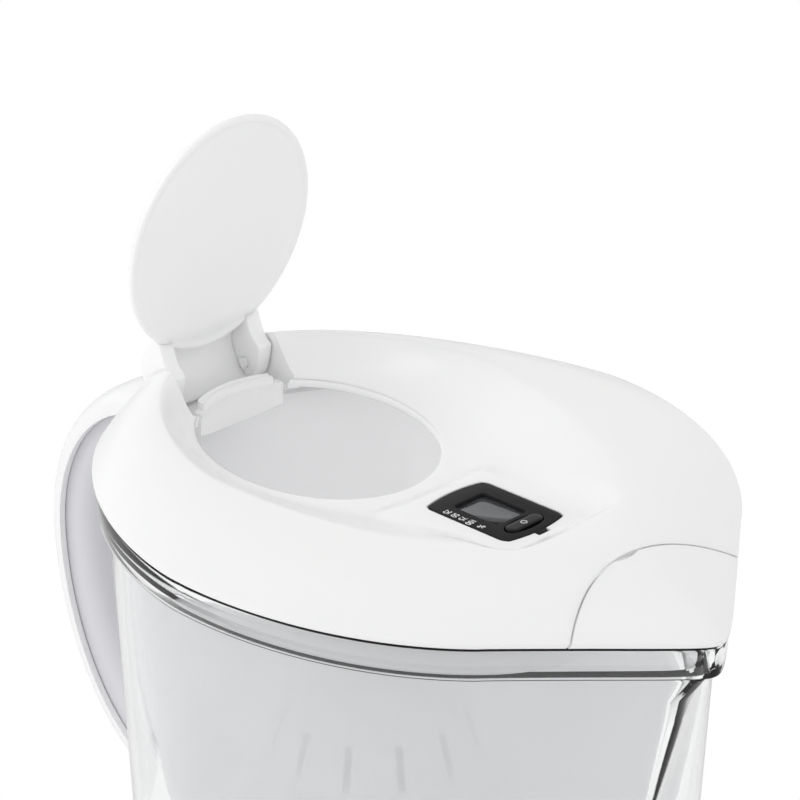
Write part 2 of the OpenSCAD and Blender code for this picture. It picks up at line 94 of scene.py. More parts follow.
SINK_MM = 38.0  # width of the faint sink waves on moulded walls
DRAW_MM = 30.0  # width of the waves that clear walls get as they are drawn off the mould
FROST_MM = 0.4  # grain of the frosted mould
FROST_WAVE_MM = 45.0  # width of the waves in the thin frosted wall
BRUSH_MM = 0.2  # spacing of the rolling lines on sheet metal
SINK_DEPTH = 0.0006  # depth of the waves, in m, deeper than real so that they show
GRAIN_DEPTH = 0.00002  # depth of grain and brushing, in m


def moulded_plastic(name, colour, rough=0.2, edge_mm=0.25, grain_mm=0.35, grain=0.02, subsurface=0.15,
                    specular=0.5):
    """Injection moulded plastic: faint sink waves, fine grain, softened edges and a little scatter."""
    m = new_material(name)
    coords = add(m, "TexCoord")
    fine = add(m, "TexNoise", {"Vector": coords.outputs["Object"], "Scale": 1000 / grain_mm, "Detail": 3.0})
    broad = add(m, "TexNoise", {"Vector": coords.outputs["Object"], "Scale": 1000 / SINK_MM, "Detail": 2.0})
    rounded = add(m, "Bevel", {"Radius": edge_mm / 1000}, samples=6)
    sink = add(m, "Bump", {"Height": broad.outputs["Fac"], "Strength": 0.05, "Distance": SINK_DEPTH,
                           "Normal": rounded.outputs["Normal"]})
    skin = add(m, "Bump", {"Height": fine.outputs["Fac"], "Strength": grain, "Distance": GRAIN_DEPTH,
                           "Normal": sink.outputs["Normal"]})
    gloss = add(m, "MapRange", {"Value": broad.outputs["Fac"], "From Min": 0.3, "From Max": 0.7,
                                "To Min": rough * 0.9, "To Max": rough * 1.12})
    body = add(m, "BsdfPrincipled", {
        "Base Color": linear(colour), "Roughness": gloss.outputs["Result"], "IOR": 1.49,
        "Specular IOR Level": specular, "Subsurface Weight": subsurface, "Subsurface Scale": 0.002,
        "Subsurface Radius": (1.0, 0.95, 0.9), "Normal": skin.outputs["Normal"]})
    return finish_material(m, body.outputs["BSDF"])


def clear_plastic(name, tint, ior, wave=0.12):
    """Clear moulded plastic with long draw waves; shadow and scattered rays pass straight through."""
    m = new_material(name)
    coords = add(m, "TexCoord")
    drawn = add(m, "Mapping", {"Vector": coords.outputs["Object"], "Scale": (1.0, 1.0, 0.25)})
    waves = add(m, "TexNoise", {"Vector": drawn.outputs["Vector"], "Scale": 1000 / DRAW_MM, "Detail": 1.0})
    bump = add(m, "Bump", {"Height": waves.outputs["Fac"], "Strength": wave, "Distance": SINK_DEPTH})
    body = add(m, "BsdfPrincipled", {
        "Base Color": linear(tint), "Roughness": 0.015, "IOR": ior, "Transmission Weight": 1.0,
        "Normal": bump.outputs["Normal"]})
    rays = add(m, "LightPath")
    soft = add(m, "Math", {0: rays.outputs["Is Shadow Ray"], 1: rays.outputs["Is Diffuse Ray"]},
               operation="MAXIMUM")
    straight = add(m, "BsdfTransparent", {"Color": (0.98, 0.98, 0.98, 1.0)})
    choice = add(m, "MixShader", {0: soft.outputs["Value"], 1: body.outputs["BSDF"],
                                  2: straight.outputs["BSDF"]})
    return finish_material(m, choice.outputs["Shader"])


def frosted_plastic(name, colour, glow, see_through):
    """Thin translucent plastic: part of the light from behind comes through softly, part of it straight."""
    m = new_material(name)
    coords = add(m, "TexCoord")
    fine = add(m, "TexNoise", {"Vector": coords.outputs["Object"], "Scale": 1000 / FROST_MM, "Detail": 2.0})
    broad = add(m, "TexNoise", {"Vector": coords.outputs["Object"], "Scale": 1000 / FROST_WAVE_MM,
                                "Detail": 1.0})
    sink = add(m, "Bump", {"Height": broad.outputs["Fac"], "Strength": 0.08, "Distance": SINK_DEPTH})
    skin = add(m, "Bump", {"Height": fine.outputs["Fac"], "Strength": 0.03, "Distance": GRAIN_DEPTH,
                           "Normal": sink.outputs["Normal"]})
    outside = add(m, "BsdfPrincipled", {"Base Color": linear(colour), "Roughness": 0.3, "IOR": 1.49,
                                        "Normal": skin.outputs["Normal"]})
    inside = add(m, "BsdfTranslucent", {"Color": linear(colour), "Normal": skin.outputs["Normal"]})
    both = add(m, "MixShader", {0: glow, 1: outside.outputs["BSDF"], 2: inside.outputs["BSDF"]})
    clear = add(m, "BsdfTransparent", {"Color": (0.99, 0.99, 0.99, 1.0)})
    haze = add(m, "MixShader", {0: see_through, 1: both.outputs["Shader"], 2: clear.outputs["BSDF"]})
    return finish_material(m, haze.outputs["Shader"])


def metal(name, colour, rough=0.3):
    """Rolled sheet metal with fine brushing along one way."""
    m = new_material(name)
    coords = add(m, "TexCoord")
    drawn = add(m, "Mapping", {"Vector": coords.outputs["Object"], "Scale": (0.05, 1.0, 1.0)})
    lines = add(m, "TexNoise", {"Vector": drawn.outputs["Vector"], "Scale": 1000 / BRUSH_MM, "Detail": 2.0})
    bump = add(m, "Bump", {"Height": lines.outputs["Fac"], "Strength": 0.15, "Distance": GRAIN_DEPTH})
    body = add(m, "BsdfPrincipled", {"Base Color": linear(colour), "Metallic": 1.0, "Roughness": rough,
                                     "Normal": bump.outputs["Normal"]})
    return finish_material(m, body.outputs["BSDF"])


# Polished ABS: white with a soft gloss, and light that spreads a little under the surface
white = moulded_plastic("polished white ABS of the lid", "#FAFAFA", rough=0.22, subsurface=0.3)
handle_white = moulded_plastic("polished white ABS of the handle shell", "#F8F8F9")
# Moulded TPE: a pale grey, duller and grainier surface for the hand
grip_grey = moulded_plastic("fine-grained pale grey TPE of the grip", "#DCDCE0", rough=0.42, grain=0.06)
# Frosted polypropylene: a thin wall that glows from behind and hides what is in it
funnel_frost = frosted_plastic("frosted polypropylene of the funnel", "#FAFAFB", glow=0.62, see_through=0.4)
# Clear SAN: almost colourless, its bending of light set lower than real to match the photographed wall
jug_clear = clear_plastic("clear moulded SAN of the jug", "#FBFCFC", ior=1.38)
# The edges of a clear rim look black where they throw no light back; here that dark is painted shade: an
# opaque near-black colour on the rim's edge faces, drawn as thin dark lines
painted_rim_shade = moulded_plastic("painted shade on the rim edge of clear SAN", "#161618", rough=0.3, edge_mm=0.1,
                             subsurface=0.0)
# Satin polypropylene: soft broad highlights
cartridge_white = moulded_plastic("satin white polypropylene of the cartridge", "#F0F0EE", rough=0.35)
# Textured ABS in charcoal: nearly matt, so that the labels stand out
dark = moulded_plastic("fine-textured charcoal ABS of the indicator", "#1E1E20", rough=0.5, edge_mm=0.2,
                       grain=0.1, subsurface=0.0, specular=0.1)
button_black = moulded_plastic("satin black ABS of the button", "#0E0E0F", rough=0.32, subsurface=0.0,
                               specular=0.2)
# Pad printing ink: an even dull white
print_white = moulded_plastic("white pad printing ink", "#F2F2F2", rough=0.5, edge_mm=0.02, subsurface=0.0)
# Thin clear acrylic, little bending so that the display shows as through a flat pane
lcd_pane = clear_plastic("clear acrylic pane of the display", "#E8EAEC", ior=1.25, wave=0.02)
# Liquid crystal glass at rest: flat grey, with the idle segments a shade darker
lcd_grey = moulded_plastic("grey liquid crystal glass", "#4A4B4C", rough=0.4, subsurface=0.0, specular=0.2)
lcd_dark = moulded_plastic("idle liquid crystal segments", "#454647", rough=0.4, subsurface=0.0,
                           specular=0.2)
# Moulded silicone: dull grey
rubber = moulded_plastic("moulded grey silicone rubber", "#4A4A4C", rough=0.6, grain=0.1, subsurface=0.0)
# Activated carbon: coarse dark grains
granules = moulded_plastic("activated carbon granules", "#2E2E30", rough=0.8, grain_mm=1.2, grain=1.0,
                           subsurface=0.0)
# Lacquered fibreglass: green and fairly glossy
board_green = moulded_plastic("green lacquered fibreglass board", "#1F5A38", rough=0.35, subsurface=0.0)
# Rolled sheet metal: fine lines along one way
steel = metal("rolled stainless steel", "#C9C9CB")
brass = metal("rolled brass", "#CDB274", rough=0.25)

# The CAD nodes get their materials too; those without a piece of their own below are shown as they are
for node, material in {
        "cartridge_shell": cartridge_white, "cartridge_seal": rubber, "cartridge_cap": cartridge_white,
        "cartridge_strainer": steel, "filter_media": granules, "cartridge_grid": cartridge_white,
        "flap_pin_left": white, "flap_pin_right": white, "pour_pin_left": white, "pour_pin_right": white,
        "indicator_case": dark, "indicator_face": dark, "indicator_window": lcd_pane, "display": lcd_grey,
        "circuit_board": board_green, "start_button": button_black, "button_dome": steel,
        "coin_cell": steel, "battery_contact": brass, "battery_cover": dark, "jug": jug_clear,
        "handle_shell": handle_white, "handle_grip": grip_grey, "funnel": funnel_frost,
        "lid_shell": white, "lid_ring": white, "refill_flap": white, "pour_flap": white}.items():
    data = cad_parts[node].data
    data.materials.clear()
    data.materials.append(material)

# Mesh helpers
SHARP = 32  # edges with a larger angle, in degrees, stay sharp


def build(name, points, faces, material):
    """A mesh object from points in mm."""
    data = bpy.data.meshes.new(name)
    data.from_pydata([(p[0] / 1000, p[1] / 1000, p[2] / 1000) for p in points], [], faces)
    bm = bmesh.new()
    bm.from_mesh(data)
    bmesh.ops.remove_doubles(bm, verts=bm.verts, dist=1e-7)
    bmesh.ops.recalc_face_normals(bm, faces=bm.faces)
    bm.to_mesh(data)
    bm.free()
    data.materials.append(material)
    shade(data)
    obj = bpy.data.objects.new(name, data)
    bpy.context.collection.objects.link(obj)
    return obj


def shade(data):
    """Smooth shading but for the sharp edges."""
    for face in data.polygons:
        face.use_smooth = True
    data.set_sharp_from_angle(angle=radians(SHARP))


def loft(name, rings, material, closed=False, caps=True):
    """A skin through rings of equal count; closed joins the last ring to the first."""
    n, m = len(rings[0]), len(rings)
    faces = []
    for r in range(m if closed else m - 1):
        a, b = r * n, ((r + 1) % m) * n
        faces += [(a + k, a + (k + 1) % n, b + (k + 1) % n, b + k) for k in range(n)]
    if caps and not closed:
        faces += [tuple(range(n)), tuple(range((m - 1) * n, m * n))]
    return build(name, [p for ring in rings for p in ring], faces, material)


def prism(name, outline, low, high, material, axis="Z", edge=0.0):
    """An extruded outline with rounded rims; axis Y takes the outline in X and Z, axis X in Y and Z."""
    n = len(outline)
    if axis == "Y":
        points = [(p[0], y, p[1]) for y in (low, high) for p in outline]
    elif axis == "X":
        points = [(x, p[0], p[1]) for x in (low, high) for p in outline]
    else:
        points = [(p[0], p[1], z) for z in (low, high) for p in outline]
    faces = [(k, (k + 1) % n, n + (k + 1) % n, n + k) for k in range(n)]
    faces += [tuple(range(n)), tuple(range(n, 2 * n))]
    obj = build(name, points, faces, material)
    if edge:
        bm = bmesh.new()
        bm.from_mesh(obj.data)
        bm.faces.ensure_lookup_table()
        rims = {e for f in bm.faces if len(f.verts) == n for e in f.edges} if n > 4 else set(bm.edges)
        bmesh.ops.bevel(bm, geom=list(rims), offset=edge / 1000, segments=3, affect="EDGES",
                        profile=0.5, clamp_overlap=True)
        bm.to_mesh(obj.data)
        bm.free()
        shade(obj.data)
    return obj


def rounded(length, width, r, n=10, cx=0.0, cy=0.0):
    """A rectangle's outline with round corners."""
    points = []
    for k, (sx, sy) in enumerate(((1, 1), (-1, 1), (-1, -1), (1, -1))):
        for j in range(n + 1):
            a = radians(90 * k + 90 * j / n)
            points.append((cx + sx * (length / 2 - r) + r * cos(a), cy + sy * (width / 2 - r) + r * sin(a)))
    return points


def arc(r, start, end, n):
    """Points on a circle about the origin, from one angle in degrees to the other."""
    return [(r * cos(radians(mix(start, end, k / n))), r * sin(radians(mix(start, end, k / n))))
            for k in range(n + 1)]


def place(obj, matrix):
    """The object with its mesh moved by the matrix."""
    obj.data.transform(matrix)
    return obj


def cut(obj, cutter, operation="DIFFERENCE", keep=False):
    """A boolean that is applied at once; the cutter goes away unless it is kept."""
    change = obj.modifiers.new("cut", "BOOLEAN")
    change.operation = operation
    change.object = cutter
    change.solver = "EXACT"
    bpy.context.view_layer.update()
    graph = bpy.context.evaluated_depsgraph_get()
    data = bpy.data.meshes.new_from_object(obj.evaluated_get(graph))
    obj.modifiers.remove(change)
    old = obj.data
    obj.data = data
    bpy.data.meshes.remove(old)
    if not keep:
        bpy.data.objects.remove(cutter)
    shade(obj.data)
    return obj


def join(name, objects):
    """Several pieces as one object, their surfaces left as they are."""
    bm = bmesh.new()
    materials = []
    for obj in objects:
        base = len(bm.faces)
        bm.from_mesh(obj.data)
        bm.faces.ensure_lookup_table()
        for slot_material in obj.data.materials:
            if slot_material not in materials:
                materials.append(slot_material)
        for face in bm.faces[base:]:
            face.material_index = materials.index(obj.data.materials[face.material_index])
            face.smooth = True
    data = bpy.data.meshes.new(name)
    bm.to_mesh(data)
    bm.free()
    for slot_material in materials:
        data.materials.append(slot_material)
    data.set_sharp_from_angle(angle=radians(SHARP))
    for obj in objects:
        bpy.data.objects.remove(obj)
    made = bpy.data.objects.new(name, data)
    bpy.context.collection.objects.link(made)
    return made


def show(obj, body, slot, *nodes):
    """The finished piece takes the place of its CAD nodes and moves with their body."""
    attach(obj, body)
    if nodes:
        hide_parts(*nodes)
    return obj


# The lid's surface, in a frame with its origin at the centre of the fill hole
HALF_W = 75.0  # half the lid's width
WIDE_X = 33.0  # where the lid is widest
BACK = 87.0  # from there to the handle's end
FRONT = 80.0  # from there to the front of the plain oval
NOSE = 98.0  # from there to the tip of the spout
NOSE_INSET = 1.253  # how far the tip draws back per mm of inset
TIP = 0.08  # roundness of the tip, as a part of the nose's length
BLUNT = 1.012  # reach of the plain oval's front, as a part of FRONT
EDGE_PEAK_X = 27.0  # where the lid's lower edge is highest
EDGE_PEAK_Z = 1.4
EDGE_FALL = 7.7  # its fall 100 mm away from there
HOLE_A = 32.3  # half the fill hole's length
HOLE_B = 28.1  # half its width
HOLE_TILT = 4.0  # its slope toward the spout, in degrees
HOLE_X = -30.0  # its centre on the CAD frame
HOLE_Z = 250.0
EDGE_H = 1.2  # height of the lid's upright edge
SKIN = 2.2  # the lid's wall
LIP_X = 14.0  # centre of the crest between apron and bowl
LIP_FRONT = 75.3  # from there to its front
LIP_BACK = 53.6
LIP_HALF_W = 46.3
LIP_Z = 10.1  # its height over the origin
LIP_FALL = 0.0454  # its fall per mm toward the spout
PANEL_LENGTH = 28.4  # the indicator's face
PANEL_WIDTH = 19.6
PANEL_CORNER = 3.6
PANEL_BOW = 33.0  # radius of its short ends
PANEL_X = 60.0  # its centre
PANEL_Z = 1.3
PANEL_TILT = -1.2  # in degrees
PAD_HALF_X = 16.0  # the flat round the indicator
PAD_HALF_Y = 13.0
PAD_BLEND = 9.0  # width over which the flat runs into the bowl
SEAM_X = 126.9  # centre of the pour flap's seam
SEAM_Z = 4.8
SEAM_R = 27.4  # the seam's radius at that height
SEAM_SLOPE = 0.8  # growth of that radius per mm further down

# Angles round the lid, closer together at the nose
half_turn = [0.35 * k for k in range(1, 21)] + [8.0 + 1.5 * k for k in range(0, 115)]
TURN = [-t for t in reversed(half_turn)] + [0.0] + half_turn + [180.0]


def signed_power(v, p):
    """A power that keeps the sign."""
    return abs(v) ** p * (1 if v >= 0 else -1)


def oval(t, i, d):
    """Point on the lid's plan outline, inset by i, whose sharp nose would reach d."""
    a, b, w = FRONT - i, BACK - i, HALF_W - i
    turn = degrees(acos(a / d))
    tx, ty = a * a / d, w * sqrt(1 - (a / d) ** 2)
    c, s = cos(radians(t)), sin(radians(t))
    if abs(t) < turn:
        y = ty * t / turn
        return WIDE_X + d - sqrt((y * (d - tx) / ty) ** 2 + (TIP * (d - tx)) ** 2), y
    if abs(t) <= 90:
        return WIDE_X + a * c, w * s
    return WIDE_X - b * abs(c) ** 1.2, w * signed_power(s, 1.09)


def nosed(t, i):
    """The lid's outline with the spout's nose, inset by i."""
    return oval(t, i, NOSE - NOSE_INSET * i)


def plain(t, i):
    """The outline without the nose, inset by i."""
    return oval(t, i, (FRONT - i) * BLUNT)


def edge_z(x):
    """Height of the lid's lower edge, which falls toward both ends."""
    return EDGE_PEAK_Z - EDGE_FALL * ((x - EDGE_PEAK_X) / 100) ** 2


def lip(t):
    """The crest between the apron and the bowl."""
    c, s = cos(radians(t)), sin(radians(t))
    reach = LIP_FRONT * abs(c) ** 1.16 if abs(t) <= 90 else -LIP_BACK * abs(c) ** 1.24
    return LIP_X + reach, LIP_HALF_W * s, LIP_Z - LIP_FALL * (LIP_X + reach)


def hole(t, grow=0.0):
    """The rim of the fill hole."""
    c, s = cos(radians(t)), sin(radians(t))
    return (HOLE_A + grow) * c, (HOLE_B + grow) * s, -tan(radians(HOLE_TILT)) * HOLE_A * c


def apron(t, s, drop=0.0):
    """The convex outer surface, at the part s of the way from edge to crest."""
    edge, crest = nosed(t, 0), lip(t)
    z = mix(edge_z(edge[0]) + EDGE_H, crest[2], 1 - (1 - s) ** 1.77)
    return mix(edge[0], crest[0], s), mix(edge[1], crest[1], s), z - drop


def bowl(t, s, drop=0.0):
    """The hollow from the crest to the hole, flat round the indicator."""
    crest, rim = lip(t), hole(t)
    x, y = mix(crest[0], rim[0], s), mix(crest[1], rim[1], s)
    z = mix(crest[2], rim[2], 1 - (1 - s ** 1.5) ** 2.1)
    far = hypot(max(abs(x - PANEL_X) - PAD_HALF_X, 0), max(abs(y) - PAD_HALF_Y, 0))
    pad = PANEL_Z - tan(radians(PANEL_TILT)) * (x - PANEL_X)
    return x, y, mix(z, pad, 1 - smooth(far / PAD_BLEND)) - drop


def edge_ring(f, i, drop):
    """Ring below the lid's edge on the outline f, inset by i."""
    return [(*f(t, i), edge_z(f(t, i)[0]) - drop) for t in TURN]


def apron_ring(s, drop=0.0):
    """Ring round the apron."""
    return [apron(t, s, drop) for t in TURN]


def bowl_ring(s, drop=0.0):
    """Ring round the bowl."""
    return [bowl(t, s, drop) for t in TURN]


def under_ring(i):
    """Ring on the lid's underside, straight above the plain oval inset by i."""
    ring = []
    for t in TURN:
        point, edge, crest = plain(t, i), nosed(t, 0), lip(t)
        s = hypot(point[0] - edge[0], point[1] - edge[1]) / hypot(crest[0] - edge[0], crest[1] - edge[1])
        ring.append((*point, apron(t, min(s, 0.96), SKIN)[2]))
    return ring


STEPS = [0.006, 0.015, 0.03] + [0.05 + 0.025 * k for k in range(38)]
FALLS = [0.0125 * k for k in range(1, 9)] + [0.1 + 0.02 * k for k in range(1, 44)] + [0.975, 0.985]
LOWER_EDGE = [edge_ring(nosed, 0.35, 0), edge_ring(nosed, 0.1, -0.1), edge_ring(nosed, 0, -0.35),
              apron_ring(0.0)]
APRON_RINGS = [apron_ring(s) for s in STEPS]


def shell_rings():
    """The shell's skin from the edge over apron, crest and bowl to the hole, and back underneath."""
    rim = []
    for grow, drop in ((0.5, 0.0), (0.15, 0.12), (0.0, 0.45), (0.0, 1.7), (0.3, 2.2)):
        rim.append([(hole(t, grow)[0], hole(t, grow)[1], hole(t)[2] - drop) for t in TURN])
    below = [bowl_ring(s, SKIN) for s in (0.9, 0.75, 0.6, 0.45, 0.3, 0.18, 0.08)]
    below += [apron_ring(0.94, SKIN), under_ring(7.9), under_ring(6.1)]
    below += [edge_ring(nosed, 2.1, -0.4), edge_ring(nosed, 1.7, 0)]
    return LOWER_EDGE + APRON_RINGS + [bowl_ring(s) for s in FALLS] + rim + below


def flap_rings():
    """The skin that the pour flap is cut from: the apron alone, and back underneath."""
    below = [apron_ring(s, SKIN) for s in (0.7, 0.5, 0.3, 0.12)] + [edge_ring(nosed, 1.8, 0)]
    return LOWER_EDGE + APRON_RINGS[:30] + below


def seam_cone(shrink):
    """The upright cone whose side is the seam of the pour flap."""
    n = 240
    rings = []
    for z in (-20, 14):
        r = SEAM_R + SEAM_SLOPE * (SEAM_Z - z) - shrink
        rings.append([(SEAM_X + r * cos(2 * pi * k / n), r * sin(2 * pi * k / n), z) for k in range(n)])
    return loft("seam", rings, white)


panel_tilt = Matrix.Rotation(radians(PANEL_TILT), 4, "Y")
panel_on_lid = Matrix.Translation(Vector((PANEL_X, 0, PANEL_Z)) / 1000) @ panel_tilt
to_lid = Matrix.Translation(Vector((HOLE_X, 0, HOLE_Z)) / 1000)
to_panel = Matrix.Translation(Vector((HOLE_X + PANEL_X, 0, HOLE_Z + PANEL_Z)) / 1000) @ panel_tilt


def hole_outline(grow):
    """The fill hole seen from above, larger by grow."""
    turns = [2 * pi * k / 180 for k in range(180)]
    return [((HOLE_A + grow) * cos(a), (HOLE_B + grow) * sin(a)) for a in turns]


def panel_outline(grow):
    """Rounded rectangle whose short ends bow outward, larger by grow."""
    length, width = PANEL_LENGTH + 2 * grow, PANEL_WIDTH + 2 * grow
    r, bow = PANEL_CORNER + grow, PANEL_BOW + grow
    points = []
    for k, (sx, sy) in enumerate(((1, 1), (-1, 1), (-1, -1), (1, -1))):
        corner = [(sx * (length / 2 - r) + r * cos(radians(90 * k + 90 * j / 14)),
                   sy * (width / 2 - r) + r * sin(radians(90 * k + 90 * j / 14))) for j in range(15)]
        points += corner
        if k in (1, 3):
            y0, y1 = corner[-1][1], -corner[-1][1]
            points += [(sx * length / 2, mix(y0, y1, j / 16)) for j in range(1, 16)]
    limit = [sqrt(max(bow ** 2 - p[1] ** 2, 0)) - (bow - length / 2) for p in points]
    return [(max(min(p[0], e), -e), p[1]) for p, e in zip(points, limit)]


def box(x0, x1, y0, y1, low, high):
    """A plain block to add or to cut with."""
    return prism("box", [(x0, y0), (x1, y0), (x1, y1), (x0, y1)], low, high, white)


# Lid shell with seam, hinge pocket and indicator recess
FLAP_PIN_X = -41.0  # pin of the refill flap
FLAP_PIN_Z = 3.3
POUR_PIN_X = 108.0  # pin of the pour flap
POUR_PIN_Z = -2.6
POUR_HUB_R = 1.6
HOUSING_BACK = -50.2  # block under the lid that the refill flap's hinge is let into
HOUSING_FRONT = -26.0
HOUSING_HALF = 18.7  # half its width
HOUSING_FLOOR = -3.1
TRAY_WALL = 1.4  # wall round the indicator's recess
RECESS_GAP = 0.3  # gap round the indicator's face
RECESS_FLOOR = -7.2
TRAY_FLOOR = -8.6
ARM_WIDTH = 2.0  # arms that hold the pour flap's pins
LUG_WIDTH = 2.2
SEAM_GAP = 0.5
BAR_HALF = 14.0  # half the length of the bar across the back of the hole
BAR_R = 34.0  # radius of its arched lower edge
BAR_ARCH_Z = 26.2  # centre of that arch
BAR_END_Z = 3.0


def on_pour_pin(points):
    """Points about the pour flap's pin, in X and Z."""
    return [(POUR_PIN_X + x, POUR_PIN_Z + z) for x, z in points]


shell = loft("lid_shell_look", shell_rings(), white, closed=True)
cut(shell, seam_cone(0.0))
under_lid = loft("under_lid", [[(*nosed(t, 3.9), -14) for t in TURN], edge_ring(nosed, 3.9, 0.4)]
                 + [apron_ring(s, 0.8) for s in (0.06, 0.15, 0.3, 0.46, 0.64, 0.82, 1)]
                 + [bowl_ring(s, 0.8) for s in (0.14, 0.28, 0.42, 0.56, 0.78, 1)], white)
housing = box(HOUSING_BACK, HOUSING_FRONT, -HOUSING_HALF, HOUSING_HALF, HOUSING_FLOOR, 12.5)
cut(housing, prism("core", hole_outline(0.02), -20, 20, white))
for y in (-20, 14):
    cut(housing, box(-36, -16, y, y + 6, -10, -0.6))
tray = prism("tray", panel_outline(RECESS_GAP + TRAY_WALL), TRAY_FLOOR, -1.2, white)
place(tray, panel_on_lid)
arm_side = on_pour_pin(arc(POUR_HUB_R, 150, -90, 20) + [
    (-2.2, -1.9), (-4, -4.5), (-8, -8.5), (-15, -8.5), (-15, 8), (-11.6, 8), (-11.6, -6.5)])
arms = [prism("arm", arm_side, y, y + ARM_WIDTH, white, axis="Y") for y in (-11, 9)]
arch_y = [BAR_HALF * k / 12 for k in range(-12, 13)]
bar_face = [(y, BAR_ARCH_Z - sqrt(BAR_R ** 2 - y ** 2)) for y in arch_y]
bar = prism("bar", [(-BAR_HALF, BAR_END_Z)] + bar_face + [(BAR_HALF, BAR_END_Z)], -36, -20, white, axis="X")
cut(bar, prism("ring", hole_outline(2.0), -20, 20, white), "INTERSECT")
cut(bar, prism("core", hole_outline(0.02), -20, 20, white))
for extra in [housing, tray] + arms:
    cut(extra, under_lid, "INTERSECT", keep=True)
    cut(shell, extra, "UNION")
cut(shell, bar, "UNION")
bpy.data.objects.remove(under_lid)

# The pocket goes deeper for the flap's neck, and leaves the bar but for a notch at each ear
# Each step: from X, to X, half width, floor
POCKET_STEPS = ((-46.0, -27.5, 17.1, -2.4), (-49.0, -27.3, 12.71, -0.2), (-49.01, -27.2, 17.11, 1.0))
pocket = box(-46.8, -27.0, -12.7, 12.7, -2.4, 30)
for x0, x1, half, low in POCKET_STEPS:
    cut(pocket, box(x0, x1, -half, half, low, 30), "UNION")
bar_room = prism("core", hole_outline(2.0), -20, 40, white)
cut(bar_room, box(-45, 0, -14.0, 14.0, -30, 30), "INTERSECT")
for y0, y1 in ((-30, -11.8), (11.8, 30)):
    cut(bar_room, box(-40, 0, y0, y1, 1.2, 50))
cut(pocket, bar_room)
cut(shell, pocket)
cut(shell, place(prism("recess", panel_outline(RECESS_GAP), RECESS_FLOOR, 12, white), panel_on_lid))
cut(shell, place(box(13, 16, -2, 2, -2, 10), panel_on_lid))
place(shell, to_lid)
show(shell, "lid", "white_plastic", "lid_shell")

# Pour flap
pour = loft("pour_flap_look", flap_rings(), white, closed=True)
cut(pour, seam_cone(SEAM_GAP), "INTERSECT")
lug_side = on_pour_pin(arc(POUR_HUB_R, -180, 0, 20) + [(POUR_HUB_R, 3.6), (-POUR_HUB_R, 3.6)])
for y in (-8.6, 6.4):
    cut(pour, prism("lug", lug_side, y, y + LUG_WIDTH, white, axis="Y"), "UNION")
place(pour, to_lid)
show(pour, "pour_flap", "white_plastic", "pour_flap")

# Refill flap, modelled shut and then turned to the open pose about its pin
FLAP_OPEN = 77.4  # in degrees from level
DISC_X = 40.9  # centre of the disc from the pin
DISC_Z = 1.86
DISC_A = 32.9  # half the disc's length
DISC_B = 28.6  # half its width

# From the centre of one face over the rounded rim to the centre of the other: part of the radius, height
DISC_PROFILE = (
    (0.0, 0.4), (0.3, 0.4), (0.7, 0.4), (0.9, 0.4), (0.928, 0.36), (0.945, 0.2), (0.955, 0.05), (0.968, 0.0),
    (0.982, 0.06), (0.992, 0.25), (0.998, 0.55), (1.0, 0.9), (0.998, 1.25), (0.99, 1.6), (0.975, 1.85),
    (0.95, 2.02), (0.85, 2.3), (0.7, 2.5), (0.45, 2.7), (0.2, 2.8), (0.0, 2.8))
# Side views about the pin, in X and Z: the neck between the ears, and an ear
NECK_SIDE = [
    (13, 4.8), (10, 6.6), (6, 7.55), (2.3, 7.1), (-0.2, 5.5), (-2.3, 3.6), (-4.5, 0.6), (-5.15, -0.9),
    (-4.6, -1.9), (-3.9, -2.05), (-2.9, -0.4), (-1, 2.2), (0.9, 3.75), (3.2, 5.35), (6, 5.8), (8.5, 5.15),
    (9.8, 3.65), (12.2, 3.0), (13.1, 3.3)]
EAR_SIDE = [
    (-4.35, -1), (-3.3, -3.1), (-1.5, -4.25), (2, -4.7), (6.0, -4.65), (7.0, -4.1), (8.8, -1.2),
    (12.8, 1.6), (13.9, 2.8), (14.1, 3.5), (13.0, 4.75), (10, 6.55), (6, 7.5), (2.3, 7.1), (-0.2, 5.45),
    (-2.4, 3.85), (-3.95, 2.0)]


def bend(a, b, c, d, t):
    """One coordinate of a smooth curve that passes b and c, at the part t between them."""
    return 0.5 * (2 * b + (c - a) * t + (2 * a - 5 * b + 4 * c - d) * t * t
                  + (3 * b - a - 3 * c + d) * t ** 3)


def curve(points, steps):
    """A closed smooth curve through the points."""
    n = len(points)
    made = []
    for k in range(n):
        near = [points[(k + j - 1) % n] for j in range(4)]
        for j in range(steps):
            made.append(tuple(bend(*values, j / steps) for values in zip(*near)))
    return made


disc = []
for part, z in DISC_PROFILE:
    turns = [2 * pi * j / 180 for j in range(180)]
    disc.append([(DISC_X + DISC_A * part * cos(a), DISC_B * part * sin(a), DISC_Z + z) for a in turns])
flap = loft("refill_flap_look", disc, white, caps=False)
neck = prism("neck", curve(NECK_SIDE, 3), -12.4, 12.4, white, axis="Y", edge=0.2)
ears = []
for low, high in ((12.2, 16.6), (-16.6, -12.2)):
    ear = prism("ear", curve(EAR_SIDE, 4), low, high, white, axis="Y", edge=0.5)
    cut(ear, prism("bore", arc(1.56, 0, 354, 59), -30, 30, white, axis="Y"))
    ears.append(ear)
flap = join("refill_flap_look", [flap, neck] + ears)
to_flap_pin = to_lid @ Matrix.Translation(Vector((FLAP_PIN_X, 0, FLAP_PIN_Z)) / 1000)
place(flap, to_flap_pin @ Matrix.Rotation(radians(-FLAP_OPEN), 4, "Y"))
show(flap, "refill_flap", "white_plastic", "refill_flap")

# Indicator, in a frame with its origin at the centre of the face's upper side
WINDOW_X = -1.55  # centre of the display's window
BUTTON_X = 9.3  # centre of the button
LINE = 0.24  # width of the printed lines
GLYPH_STEP = 0.98  # from one figure to the next
GLYPH_MID = 0.8  # half the height of a figure
LABEL_Y = -8.0  # the row of labels


